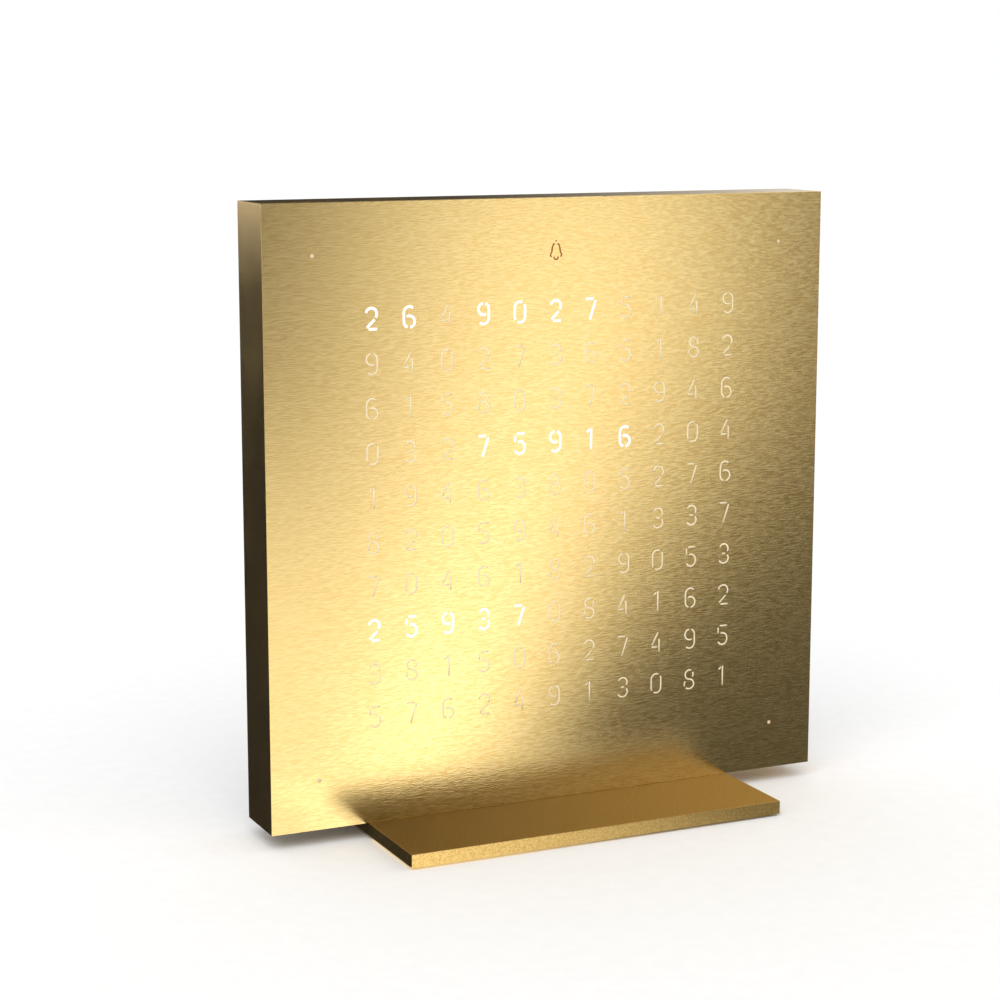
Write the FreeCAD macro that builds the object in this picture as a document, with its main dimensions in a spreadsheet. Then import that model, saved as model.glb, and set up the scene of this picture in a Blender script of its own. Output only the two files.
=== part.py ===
import FreeCAD, Part
import os
import re

import Sketcher
from FreeCAD import Vector

# Word clock: a square metal case with an LED matrix behind its perforated front, a moulded
# rear cover with four push buttons, and a flat foot plate screwed on from below.
# Row frame: +X to the right as seen from the front, +Y to the back, +Z up, millimetres.
# The origin is the middle of the foot's underside.

COLUMNS = 11
ROWS = 10
BUTTONS = ("hour", "minute", "alarm", "mode")

# Every length that drives the clock: its name, its value and what it measures.
SIZES = (
    # metal case
    ("case_width", 135.0, "outer width of the metal case"),
    ("case_height", 135.0, "outer height of the metal case"),
    ("case_depth", 15.0, "depth of the case's sides, front plate included"),
    ("front_thickness", 1.5, "front plate"),
    ("wall_thickness", 1.5, "side walls"),
    ("front_chamfer", 0.2, "broken edge round the front"),
    ("dot_inset", 11.05, "minute holes, in from the case's edges"),
    ("dot_diameter", 0.9, "minute holes"),
    ("bell_drop", 11.4, "middle of the bell sign below the case's top"),
    # character matrix
    ("dial_margin_x", 19.815, "outermost columns' cells to the case's sides"),
    ("dial_margin_z", 19.35, "outermost lines' cells to the case's top and bottom"),
    ("dial_drop", 0.42, "matrix middle below the case's middle"),
    # stack behind the front
    ("stack_gap", 0.5, "diffuser, light grid and board to the walls and blocks"),
    ("tape_thickness", 0.2, "adhesive frame"),
    ("tape_width", 4.5, "adhesive frame"),
    ("diffuser_thickness", 1.0, "opal sheet"),
    ("grid_depth", 5.0, "light grid from diffuser to board"),
    ("web_thickness", 1.5, "light grid's web behind the diffuser"),
    ("cell_wall", 0.9, "between wells at the diffuser"),
    ("well_lean", 0.8, "how far each side of a well draws in towards the board"),
    ("corner_well", 5.6, "wells behind the minute holes"),
    ("bell_well", 6.4, "well behind the bell sign"),
    ("tube_wall", 1.0, "round the corner wells and the bell well"),
    ("standoff_inset_x", 12.0, "stand-offs, in from the case's side walls"),
    ("standoff_inset_z", 22.0, "stand-offs, in from the case's top and bottom walls"),
    ("standoff_width", 5.0, "stand-offs that carry the board"),
    ("peg_width", 2.0, "pegs that locate the board"),
    ("peg_gap", 0.1, "round the pegs"),
    # LED board
    ("board_thickness", 1.6, "printed circuit board"),
    ("board_side_margin", 5.0, "board edge to the case's side walls"),
    ("led_width", 2.8, "LED package"),
    ("led_height", 3.0, "LED package"),
    ("led_thickness", 0.8, "LED package"),
    # parts on the back of the board
    ("chip_length", 15.4, "LED driver"),
    ("chip_width", 7.5, "LED driver"),
    ("chip_thickness", 2.3, "LED driver"),
    ("chip_pitch", 22.0, "from driver to driver"),
    ("chip_rise", 14.0, "drivers above the case's middle"),
    ("chip_chamfer", 0.4, "top edges of the packages"),
    ("controller_width", 12.0, "controller package"),
    ("controller_thickness", 1.4, "controller package"),
    ("middle_drop", 13.0, "controller, cell and sounder below the case's middle"),
    ("crystal_length", 11.4, "crystal can"),
    ("crystal_width", 4.7, "crystal can"),
    ("crystal_height", 3.5, "crystal can"),
    ("crystal_drop", 29.0, "crystal below the case's middle"),
    ("capacitor_radius", 3.15, "supply capacitor's can"),
    ("capacitor_height", 5.2, "supply capacitor"),
    ("capacitor_base", 6.6, "supply capacitor's square base"),
    ("base_thickness", 0.9, "supply capacitor's square base"),
    ("capacitor_inset", 41.0, "supply capacitor, in from the case's right wall"),
    ("capacitor_rise", 19.5, "supply capacitor above the case's underside"),
    ("cell_radius", 10.0, "coin cell"),
    ("cell_thickness", 3.2, "coin cell"),
    ("cell_gap", 0.3, "round the coin cell"),
    ("cell_x", 32.0, "coin cell, left of the middle"),
    ("holder_wall", 1.2, "cell holder round the cell"),
    ("holder_floor", 0.6, "cell holder under the cell"),
    ("clip_width", 5.0, "cell clip"),
    ("clip_thickness", 0.3, "cell clip"),
    ("sounder_width", 12.0, "alarm sounder"),
    ("sounder_height", 5.2, "alarm sounder"),
    ("sounder_port", 1.2, "radius of the alarm sounder's port"),
    ("sounder_x", 33.0, "alarm sounder, right of the middle"),
    ("spring_width", 4.0, "touch spring"),
    ("spring_strip", 0.3, "touch spring's sheet"),
    ("spring_clear", 0.7, "touch spring to the cover's skirt"),
    ("spring_foot", 4.0, "touch spring's soldered foot"),
    # buttons and their switches
    ("button_pitch", 14.0, "from button to button"),
    ("button_row_x", -36.0, "first button from the middle"),
    ("button_rise", 19.5, "buttons above the case's underside"),
    ("button_radius", 3.0, "button cap"),
    ("button_gap", 0.25, "round the button cap"),
    ("button_flange", 1.2, "flange that keeps the button in, round the cap"),
    ("flange_thickness", 0.9, "flange that keeps the button in"),
    ("button_sink", 0.1, "cap below the cover's outer face"),
    ("stem_width", 3.0, "cross-shaped stem"),
    ("stem_rib", 1.0, "cross-shaped stem"),
    ("slide_gap", 0.1, "flange to cover, plunger collar to lid"),
    ("recess_length", 54.0, "finger recess round the buttons"),
    ("recess_width", 11.0, "finger recess round the buttons"),
    ("recess_depth", 0.8, "finger recess round the buttons"),
    ("switch_width", 6.0, "switch housing"),
    ("switch_height", 2.5, "switch housing"),
    ("switch_floor", 0.4, "switch housing"),
    ("switch_lid", 0.5, "switch housing"),
    ("switch_cavity", 4.8, "inside the switch housing"),
    ("plunger_width", 3.4, "switch plunger"),
    ("plunger_gap", 0.2, "round the switch plunger"),
    ("plunger_proud", 1.0, "plunger above its housing"),
    ("collar_lip", 0.35, "collar that keeps the plunger in, round the plunger"),
    ("collar_height", 0.4, "collar that keeps the plunger in"),
    ("nub_width", 1.6, "nub over the snap leaf"),
    ("nub_height", 0.25, "nub over the snap leaf"),
    ("leaf_length", 4.2, "snap leaf"),
    ("leaf_width", 3.0, "snap leaf"),
    ("leaf_sheet", 0.1, "snap leaf's sheet"),
    ("leaf_rise", 0.3, "snap leaf"),
    # power inlet
    ("socket_inset", 26.0, "power inlet, in from the case's right wall"),
    ("socket_rise", 13.0, "power inlet above the case's underside"),
    ("socket_width", 9.0, "socket body"),
    ("socket_flange", 1.0, "socket flange round the board's cut-out"),
    ("socket_tail", 2.2, "socket body in front of the board"),
    ("socket_neck", 4.0, "radius of the socket's neck"),
    ("socket_gap", 0.3, "round the socket"),
    ("socket_sink", 0.8, "socket mouth below the cover's outer face"),
    ("inlet_radius", 1.8, "socket bore"),
    ("inlet_depth", 10.0, "socket bore"),
    ("pin_radius", 0.65, "centre contact"),
    ("pin_sink", 1.0, "centre contact below the socket's mouth"),
    # rear cover
    ("cover_gap", 0.3, "cover to the case's walls"),
    ("cover_proud", 3.0, "cover behind the case's sides"),
    ("cover_skirt", 2.0, "cover inside the case's sides"),
    ("cover_wall", 2.0, "cover's back and sides"),
    ("cover_corner", 2.0, "cover's corners"),
    ("cover_edge", 0.8, "bevel round the cover's back"),
    ("rib_width", 1.2, "stiffening ribs"),
    ("rib_height", 1.4, "stiffening ribs"),
    ("rib_inset", 17.0, "upright ribs, in from the case's side walls"),
    ("rib_middle_rise", 4.0, "middle rib above the case's middle"),
    ("rib_lower_rise", 29.5, "lower rib above the case's underside"),
    ("post_width", 3.2, "posts that press on the board"),
    ("post_inset", 5.5, "posts, in from the cover's inner sides"),
    ("frame_wall", 1.0, "frame round the sounder"),
    ("frame_gap", 0.4, "frame to the sounder"),
    ("sound_slot", 1.2, "width of the sound slots"),
    ("sound_reach", 9.6, "longest sound slot"),
    ("sound_pitch", 2.4, "from sound slot to sound slot"),
    # keyhole hanger
    ("keyhole_drop", 33.5, "keyhole entry below the case's top"),
    ("keyhole_radius", 4.5, "keyhole entry"),
    ("keyhole_slot", 4.6, "keyhole slot's width"),
    ("keyhole_travel", 9.6, "from the entry to the wall screw's seat"),
    ("cup_clear", 1.7, "room round the wall screw's head"),
    ("cup_wall", 1.2, "moulded cup behind the keyhole"),
    ("cup_gap", 0.9, "cup to the board"),
    # fastening of the cover: two hooks above, two screws below
    ("block_width", 7.5, "tapped blocks"),
    ("block_height", 9.0, "tapped blocks"),
    ("block_depth", 4.8, "tapped blocks"),
    ("block_rise", 23.5, "tapped blocks above the case's underside"),
    ("screw_radius", 1.25, "cover screws"),
    ("screw_head", 2.2, "radius of the cover screws' heads"),
    ("screw_head_height", 1.5, "cover screws' heads"),
    ("screw_short", 1.0, "tapped block in front of the screw's tip"),
    ("head_gap", 0.25, "round and over a sunk screw head"),
    ("thread_gap", 0.05, "between a screw and its tapped hole"),
    ("shank_gap", 0.2, "round a shank that passes through"),
    ("socket_key", 0.55, "hexagon sockets, as a share of the head's radius"),
    ("hook_inset", 32.0, "hooks, in from the case's side walls"),
    ("hook_width", 8.0, "cover's hooks"),
    ("hook_tongue", 1.6, "thickness of the hooks' tongues"),
    ("hook_nib", 1.2, "thickness of the hooks' nibs"),
    ("hook_gap", 0.3, "hooks to ledges"),
    ("ledge_length", 12.0, "ledges under the case's top wall"),
    ("ledge_height", 1.2, "ledges under the case's top wall"),
    ("ledge_depth", 1.6, "ledges under the case's top wall"),
    # foot
    ("plate_width", 90.0, "foot plate"),
    ("plate_front", 24.0, "foot plate in front of the case"),
    ("plate_back", 24.0, "foot plate behind the cover"),
    ("plate_thickness", 3.0, "foot plate"),
    ("plate_chamfer", 0.2, "broken edge of the foot plate"),
    ("foil_thickness", 0.5, "anti-slip sheet"),
    ("foil_inset", 3.0, "anti-slip sheet, in from the plate's edges"),
    ("foil_hole", 4.2, "radius of the anti-slip sheet's holes"),
    ("bar_width", 74.0, "tapped bar in the case's bottom"),
    ("bar_height", 3.7, "tapped bar in the case's bottom"),
    ("base_screw_spacing", 60.0, "between the two base screws"),
    ("base_screw_radius", 1.5, "base screws"),
    ("base_screw_head", 2.75, "radius of the base screws' low heads"),
    ("base_screw_head_height", 1.3, "base screws' low heads"),
    ("base_screw_sink", 0.2, "heads above the plate's underside"),
)

# Lengths that follow from the sizes above, so that neighbours share one formula. Those that
# end in front, back or inside are measured back from the face of the front plate.
DERIVED = {
    "overall_depth": "case_depth + cover_proud",
    "front_face": "-overall_depth / 2",
    "case_bottom": "foil_thickness + plate_thickness",
    "case_middle": "case_bottom + case_height / 2",
    "inner_half_width": "case_width / 2 - wall_thickness",
    "inner_half_height": "case_height / 2 - wall_thickness",
    "stack_width": "2 * (inner_half_width - stack_gap)",
    "stack_height": "2 * (inner_half_height - stack_gap)",
    "dot_x": "case_width / 2 - dot_inset",
    "dot_z": "case_height / 2 - dot_inset",
    "bell_z": "case_height / 2 - bell_drop",
    "column_pitch": f"(case_width - 2 * dial_margin_x) / {COLUMNS}",
    "row_pitch": f"(case_height - 2 * dial_margin_z) / {ROWS}",
    "columns_span": f"{COLUMNS - 1} * column_pitch",
    "rows_span": f"{ROWS - 1} * row_pitch",
    "first_x": "-columns_span / 2",
    "first_z": "-rows_span / 2 - dial_drop",
    "standoff_x": "inner_half_width - standoff_inset_x",
    "standoff_z": "inner_half_height - standoff_inset_z",
    "diffuser_front": "front_thickness + tape_thickness",
    "grid_front": "diffuser_front + diffuser_thickness",
    "board_front": "grid_front + grid_depth",
    "board_back": "board_front + board_thickness",
    "board_half_width": "inner_half_width - board_side_margin",
    "board_half_height": "inner_half_height - bar_height - stack_gap",
    "capacitor_x": "inner_half_width - capacitor_inset",
    "capacitor_z": "capacitor_rise - case_height / 2",
    "spring_reach": "cover_front - board_back - spring_clear",
    "button_z": "button_rise - case_height / 2",
    "socket_x": "inner_half_width - socket_inset",
    "socket_z": "socket_rise - case_height / 2",
    "socket_opening": "socket_width + 2 * socket_gap",
    "cover_front": "case_depth - cover_skirt",
    "cover_inside": "overall_depth - cover_wall",
    "cover_depth": "cover_skirt + cover_proud",
    "cover_half_width": "inner_half_width - cover_gap",
    "cover_half_height": "inner_half_height - cover_gap",
    "rib_front": "cover_inside - rib_height",
    "rib_lower_z": "rib_lower_rise - case_height / 2",
    "keyhole_z": "case_height / 2 - keyhole_drop",
    "block_front": "cover_front - block_depth",
    "block_x": "inner_half_width - block_width / 2",
    "block_z": "block_rise - case_height / 2",
    "screw_seat": "overall_depth - screw_head_height - head_gap",
    "screw_length": "screw_seat - block_front - screw_short",
    "hook_x": "inner_half_width - hook_inset",
    "ledge_front": "cover_front - hook_gap - ledge_depth",
    "bar_back": "cover_front - slide_gap",
    "base_screw_length": "plate_thickness + wall_thickness + bar_height - base_screw_sink"
    " - slide_gap",
    "plunger_top": "switch_height + plunger_proud",
    "collar_top": "switch_height - switch_lid - slide_gap",
    "button_front": "board_back + plunger_top",
    "flange_back": "cover_inside - slide_gap - button_front",
    "flange_front": "flange_back - flange_thickness",
    "cap_back": "overall_depth - button_sink - button_front",
    "socket_mouth": "overall_depth - socket_sink - board_back",
    "cup_front": "board_back + cup_gap",
    "cup_inside": "cup_front + cup_wall",
    "cup_half_width": "keyhole_radius + cup_clear",
    "cup_top": "keyhole_z + keyhole_travel + keyhole_radius",
    "cup_bottom": "keyhole_z - keyhole_radius - cup_clear",
}

NAMES = {name for name, _, _ in SIZES}
WORD = re.compile(r"[a-z_]+[a-z]")

doc = FreeCAD.newDocument("WordClock")
sheet = doc.addObject("Spreadsheet::Sheet", "Sizes")
for line, (name, number, note) in enumerate(SIZES, start=1):
    sheet.set(f"A{line}", name)
    sheet.set(f"B{line}", str(number))
    sheet.set(f"C{line}", note)
    sheet.setAlias(f"B{line}", name)
doc.recompute()

LEVEL = 1e-4  # how nearly an edge lies in a face's plane
parts = []


def formula(text):
    """Spells out derived lengths and reads the sizes from the sheet."""

    def replace(match):
        word = match.group(0)
        if word in DERIVED:
            return f"({formula(DERIVED[word])})"
        return f"Sizes.{word}" if word in NAMES else word

    return WORD.sub(replace, str(text))


def bind(thing, **properties):
    """Binds properties to formulas. A double underscore stands for a dot."""
    for name, text in properties.items():
        thing.setExpression(name.replace("__", "."), formula(text))


def place(thing, x="0", y="0", z="0"):
    bind(thing, Placement__Base__x=x, Placement__Base__y=y, Placement__Base__z=z)


def keep(thing, label):
    """Registers a finished sub-part under its name."""
    thing.Label = label
    parts.append(thing)
    return thing


def new_body(label, depth, x="0", z="0"):
    """A body whose origin lies depth behind the front face, and x and z off the case's middle."""
    body = doc.addObject("PartDesign::Body", "Body_" + label)
    place(body, x, f"front_face + {depth}", f"case_middle + {z}")
    return keep(body, label)


def origin_of(body, role):
    return next(f for f in body.Origin.OriginFeatures if f.Role == role)


def new_sketch(body, name, role="XZ_Plane", offset="0"):
    """A sketch on an origin plane, moved along it. XZ_Plane sketches move towards the back."""
    sketch = body.newObject("Sketcher::SketchObject", name)
    sketch.AttachmentSupport = [(origin_of(body, role), "")]
    sketch.MapMode = "FlatFace"
    along = f"-({offset})" if role == "XZ_Plane" else offset
    bind(sketch, AttachmentOffset__Base__z=along)
    return sketch


def fix_point(sketch, edge, end, x, y):
    """Dimensions one end of a line, or a circle's middle, from the sketch's origin."""
    for kind, text in (("DistanceX", x), ("DistanceY", y)):
        index = sketch.addConstraint(Sketcher.Constraint(kind, -1, 1, edge, end, 1.0))
        bind(sketch, **{f"Constraints[{index}]": text})


def outline(sketch, points):
    """A closed outline through points, each a pair of formulas."""
    first, count = sketch.GeometryCount, len(points)
    loose = [Vector(i, i * i, 0) for i in range(count)]
    for i in range(count):
        sketch.addGeometry(Part.LineSegment(loose[i], loose[(i + 1) % count]))
    for i in range(count):
        joined = (first + i, 2, first + (i + 1) % count, 1)
        sketch.addConstraint(Sketcher.Constraint("Coincident", *joined))
    for i, (x, y) in enumerate(points):
        fix_point(sketch, first + i, 1, x, y)


def rectangle(sketch, width, height, x="0", y="0"):
    """A rectangle about x, y."""
    left, right = f"{x} - ({width}) / 2", f"{x} + ({width}) / 2"
    low, high = f"{y} - ({height}) / 2", f"{y} + ({height}) / 2"
    outline(sketch, [(left, low), (right, low), (right, high), (left, high)])


def circle(sketch, radius, x="0", y="0"):
    edge = sketch.addGeometry(Part.Circle(Vector(0, 0, 0), Vector(0, 0, 1), 1.0))
    index = sketch.addConstraint(Sketcher.Constraint("Radius", edge, 1.0))
    bind(sketch, **{f"Constraints[{index}]": radius})
    fix_point(sketch, edge, 3, x, y)


def hexagon(sketch, radius):
    """A hexagon about the sketch's origin, given to its corners."""
    ring = ((1, 0), (0.5, 0.866), (-0.5, 0.866), (-1, 0), (-0.5, -0.866), (0.5, -0.866))
    outline(sketch, [(f"{a} * ({radius})", f"{b} * ({radius})") for a, b in ring])


def mirrored(x):
    """A length on the left and on the right."""
    return f"-({x})", f"({x})"


def corners(x, z):
    return [(across, up) for across in mirrored(x) for up in mirrored(z)]


def finish(body, kind, name, **settings):
    """Adds a feature at the end of a body."""
    feature = body.newObject("PartDesign::" + kind, name)
    for setting, value in settings.items():
        setattr(feature, setting, value)
    body.Tip = feature
    return feature


def pad(body, sketch, length, forward=False):
    """Extrudes towards the clock's back and up, or the other way if forward."""
    feature = finish(body, "Pad", sketch.Name + "Pad", Profile=sketch, Reversed=not forward)
    bind(feature, Length=length)
    return feature


def pocket(body, sketch, length, forward=False):
    """Cuts towards the clock's back, or to its front if forward."""
    feature = finish(body, "Pocket", sketch.Name + "Pocket", Profile=sketch, Reversed=forward)
    bind(feature, Length=length)
    return feature


def repeat(body, features, columns, width, rows=1, height="1"):
    """Spreads features in columns over width to the right and in rows over height upwards."""
    pattern = finish(
        body,
        "LinearPattern",
        features[0].Name + "Pattern",
        Originals=features,
        Direction=(origin_of(body, "X_Axis"), [""]),
        Direction2=(origin_of(body, "Z_Axis"), [""]),
        Occurrences=columns,
        Occurrences2=rows,
    )
    bind(pattern, Length=width, Length2=height)
    return pattern


def turn(body, points, role="XY_Plane"):
    """Revolves an outline of radius and height about the plane's upright axis."""
    sketch = new_sketch(body, body.Name + "Profile", role)
    outline(sketch, points)
    axis = (sketch, ["V_Axis"])
    name = body.Name + "Turned"
    return finish(body, "Revolution", name, Profile=sketch, ReferenceAxis=axis, Angle=360)


def rim(feature, side):
    """Names of the edges that lie all along the front, back or top of a feature."""
    doc.recompute()
    box = feature.Shape.BoundBox
    low, high, level = {
        "front": ("YMin", "YMax", box.YMin),
        "back": ("YMin", "YMax", box.YMax),
        "top": ("ZMin", "ZMax", box.ZMax),
    }[side]
    names = []
    for i, edge in enumerate(feature.Shape.Edges, start=1):
        ends = (getattr(edge.BoundBox, low), getattr(edge.BoundBox, high))
        if all(abs(end - level) < LEVEL for end in ends):
            names.append(f"Edge{i}")
    return names


def bevel(body, feature, edges, size):
    name = f"{feature.Name}Bevel"
    soft = finish(body, "Chamfer", name, Base=(feature, edges))
    bind(soft, Size=size)
    return soft


# ---------------------------------------------------------------- case and foot


def make_front_housing():
    """One tray of sheet metal, open to the back."""
    body = new_body("front_housing", "0")
    sketch = new_sketch(body, "HousingOutline")
    rectangle(sketch, "case_width", "case_height")
    block = pad(body, sketch, "case_depth")
    bevel(body, block, rim(block, "front"), "front_chamfer")
    inside = new_sketch(body, "HousingInside", offset="front_thickness")
    rectangle(inside, "2 * inner_half_width", "2 * inner_half_height")
    pocket(body, inside, "case_depth")
    dots = new_sketch(body, "MinuteHoles")
    for x, z in corners("dot_x", "dot_z"):
        circle(dots, "dot_diameter / 2", x, z)
    pocket(body, dots, "front_thickness")
    holes = new_sketch(body, "FootHoles", "XY_Plane", "-case_height / 2")
    for x in mirrored("base_screw_spacing / 2"):
        circle(holes, "base_screw_radius + shank_gap", x, "overall_depth / 2")
    pocket(body, holes, "wall_thickness", forward=True)


def foot_body(label, z):
    """A body whose origin lies on the clock's upright axis at height z."""
    body = doc.addObject("PartDesign::Body", "Body_" + label)
    place(body, z=z)
    return keep(body, label)


def foot_outline(body, inset):
    """The foot's outline, drawn in by inset."""
    sketch = new_sketch(body, body.Name + "Outline", "XY_Plane")
    depth = f"plate_front + overall_depth + plate_back - 2 * {inset}"
    middle = "(plate_back - plate_front) / 2"
    rectangle(sketch, f"plate_width - 2 * {inset}", depth, "0", middle)
    return sketch


def make_base_plate():
    """Flat bar with two holes counterbored from below."""
    body = foot_body("base_plate", "foil_thickness")
    plate = pad(body, foot_outline(body, "0"), "plate_thickness", forward=True)
    bevel(body, plate, rim(plate, "top"), "plate_chamfer")
    shanks = new_sketch(body, "PlateHoles", "XY_Plane")
    heads = new_sketch(body, "PlateCounterbores", "XY_Plane")
    for x in mirrored("base_screw_spacing / 2"):
        circle(shanks, "base_screw_radius + shank_gap", x)
        circle(heads, "base_screw_head + head_gap", x)
    pocket(body, shanks, "plate_thickness", forward=True)
    pocket(body, heads, "base_screw_sink + base_screw_head_height", forward=True)


def make_base_foil():
    """Thin rubber sheet under the plate, open round the screws."""
    body = foot_body("base_foil", "0")
    sketch = foot_outline(body, "foil_inset")
    for x in mirrored("base_screw_spacing / 2"):
        circle(sketch, "foil_hole", x)
    pad(body, sketch, "foil_thickness", forward=True)


def make_foot_bar():
    """Tapped bar on the case's bottom wall, as deep as the light grid and the cover allow."""
    half = "(bar_back - overall_depth / 2)"
    bar = doc.addObject("Part::Box", "FootBar")
    bind(bar, Length="bar_width", Width=f"2 * {half}", Height="bar_height")
    place(bar, "-bar_width / 2", f"-{half}", "case_bottom + wall_thickness")
    for x in mirrored("base_screw_spacing / 2"):
        drill = doc.addObject("Part::Cylinder", "FootDrill")
        bind(drill, Radius="base_screw_radius + thread_gap", Height="3 * bar_height")
        place(drill, x, "0", "case_bottom")
        drilled = doc.addObject("Part::Cut", "DrilledFootBar")
        drilled.Base, drilled.Tool = bar, drill
        bar = drilled
    keep(bar, "foot_bar")


def make_base_screws():
    """Two low-head screws with hexagon sockets."""
    body = foot_body("base_screws", "foil_thickness + base_screw_sink")
    place(body, "-base_screw_spacing / 2", "0", "foil_thickness + base_screw_sink")
    profile = [
        ("0", "0"),
        ("base_screw_head", "0"),
        ("base_screw_head", "base_screw_head_height"),
        ("base_screw_radius", "base_screw_head_height"),
        ("base_screw_radius", "base_screw_length"),
        ("0", "base_screw_length"),
    ]
    screw = turn(body, profile, "XZ_Plane")
    key = new_sketch(body, "BaseScrewKey", "XY_Plane")
    hexagon(key, "socket_key * base_screw_head")
    cut = pocket(body, key, "0.6 * base_screw_head_height", forward=True)
    repeat(body, [screw, cut], 2, "base_screw_spacing")


# ---------------------------------------------------------------- light stack


def make_diffuser_tape():
    body = new_body("diffuser_tape", "front_thickness")
    sketch = new_sketch(body, "TapeOutline")
    rectangle(sketch, "stack_width", "stack_height")
    rectangle(sketch, "stack_width - 2 * tape_width", "stack_height - 2 * tape_width")
    pad(body, sketch, "tape_thickness")


def make_diffuser():
    opal = doc.addObject("Part::Box", "OpalSheet")
    bind(opal, Length="stack_width", Width="diffuser_thickness", Height="stack_height")
    low = "case_middle - stack_height / 2"
    place(opal, "-stack_width / 2", "front_face + diffuser_front", low)
    keep(opal, "diffuser")


def cut_well(body, name, width, height, x, z):
    """A rectangular well whose four walls draw in towards the board."""
    well = finish(body, "SubtractiveWedge", name)
    across, up = f"({width}) / 2", f"({height}) / 2"
    bind(well, Xmin=f"-{across}", Xmax=across, Zmin=f"-{up}", Zmax=up)
    bind(well, X2min=f"well_lean - {across}", X2max=f"{across} - well_lean")
    bind(well, Z2min=f"well_lean - {up}", Z2max=f"{up} - well_lean")
    bind(well, Ymin="0", Ymax="grid_depth")
    place(well, x, "0", z)
    return well


def make_light_grid():
    """Moulded baffle: one drafted well for each character, minute hole and the bell, on a
    thin web, with stand-offs whose pegs locate the board."""
    body = new_body("light_grid", "grid_front")
    web = new_sketch(body, "GridWeb")
    rectangle(web, "stack_width", "stack_height")
    pad(body, web, "web_thickness")

    walls = new_sketch(body, "GridWalls")
    width, height = "columns_span + column_pitch", "rows_span + row_pitch"
    rectangle(walls, f"{width} + cell_wall", f"{height} + cell_wall", "0", "-dial_drop")
    for x, z in corners("dot_x", "dot_z"):
        rectangle(walls, *["corner_well + 2 * tube_wall"] * 2, x, z)
    for x, z in corners("standoff_x", "standoff_z"):
        rectangle(walls, "standoff_width", "standoff_width", x, z)
    pad(body, walls, "grid_depth")

    bell_tube = new_sketch(body, "BellTube")
    rectangle(bell_tube, *["bell_well + 2 * tube_wall"] * 2, "0", "bell_z")
    pad(body, bell_tube, "grid_depth")
    pegs = new_sketch(body, "BoardPegs", offset="web_thickness")
    for x, z in corners("standoff_x", "standoff_z"):
        rectangle(pegs, "peg_width", "peg_width", x, z)
    pad(body, pegs, "grid_depth + board_thickness - web_thickness")

    opening = ("column_pitch - cell_wall", "row_pitch - cell_wall")
    well = cut_well(body, "CharacterWell", *opening, "first_x", "first_z")
    repeat(body, [well], COLUMNS, "columns_span", ROWS, "rows_span")
    corner = cut_well(body, "MinuteWell", "corner_well", "corner_well", "-dot_x", "-dot_z")
    repeat(body, [corner], 2, "2 * dot_x", 2, "2 * dot_z")
    cut_well(body, "BellWell", "bell_well", "bell_well", "0", "bell_z")


def make_led_board():
    """Board with notches round the tapped blocks, peg holes and the inlet's cut-out."""
    body = new_body("led_board", "board_front")
    sketch = new_sketch(body, "BoardOutline")
    rectangle(sketch, "2 * board_half_width", "2 * board_half_height")
    pad(body, sketch, "board_thickness")
    cuts = new_sketch(body, "BoardCuts")
    notch = "block_width + stack_gap"
    for x in mirrored(f"inner_half_width - ({notch}) / 2"):
        rectangle(cuts, notch, "block_height + 2 * stack_gap", x, "block_z")
    for x, z in corners("standoff_x", "standoff_z"):
        rectangle(cuts, *["peg_width + 2 * peg_gap"] * 2, x, z)
    rectangle(cuts, "socket_opening", "socket_opening", "socket_x", "socket_z")
    pocket(body, cuts, "board_thickness")


def make_leds():
    """One package in each well, standing forward of the board."""
    body = new_body("leds", "board_front")
    sketch = new_sketch(body, "CharacterLed")
    rectangle(sketch, "led_width", "led_height", "first_x", "first_z")
    first = pad(body, sketch, "led_thickness", forward=True)
    repeat(body, [first], COLUMNS, "columns_span", ROWS, "rows_span")
    others = new_sketch(body, "OtherLeds")
    for x, z in corners("dot_x", "dot_z") + [("0", "bell_z")]:
        rectangle(others, "led_width", "led_height", x, z)
    pad(body, others, "led_thickness", forward=True)


# ---------------------------------------------------------------- back of the board


def make_chip(label, sizes, x, z, count=1, width="1"):
    """Flat packages with bevelled tops, side by side."""
    length, across, thickness = sizes
    body = new_body(label, "board_back", x, z)
    sketch = new_sketch(body, label + "_outline")
    rectangle(sketch, length, across)
    chip = pad(body, sketch, thickness)
    soft = bevel(body, chip, rim(chip, "back"), "chip_chamfer")
    if count > 1:
        repeat(body, [chip, soft], count, width)


def make_clock_crystal():
    """Flat metal can with round ends."""
    body = new_body("clock_crystal", "board_back", "0", "-crystal_drop")
    sketch = new_sketch(body, "CrystalMiddle")
    straight = "(crystal_length - crystal_width)"
    rectangle(sketch, straight, "crystal_width")
    pad(body, sketch, "crystal_height")
    ends = new_sketch(body, "CrystalEnds")
    for x in mirrored(f"{straight} / 2"):
        circle(ends, "crystal_width / 2", x)
    pad(body, ends, "crystal_height")


def make_supply_capacitor():
    """Round can on a square base."""
    body = new_body("supply_capacitor", "board_back", "capacitor_x", "capacitor_z")
    base = new_sketch(body, "CapacitorBase")
    rectangle(base, "capacitor_base", "capacitor_base")
    pad(body, base, "base_thickness")
    can = new_sketch(body, "CapacitorCan", offset="base_thickness")
    circle(can, "capacitor_radius")
    pad(body, can, "capacitor_height - base_thickness")


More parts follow.
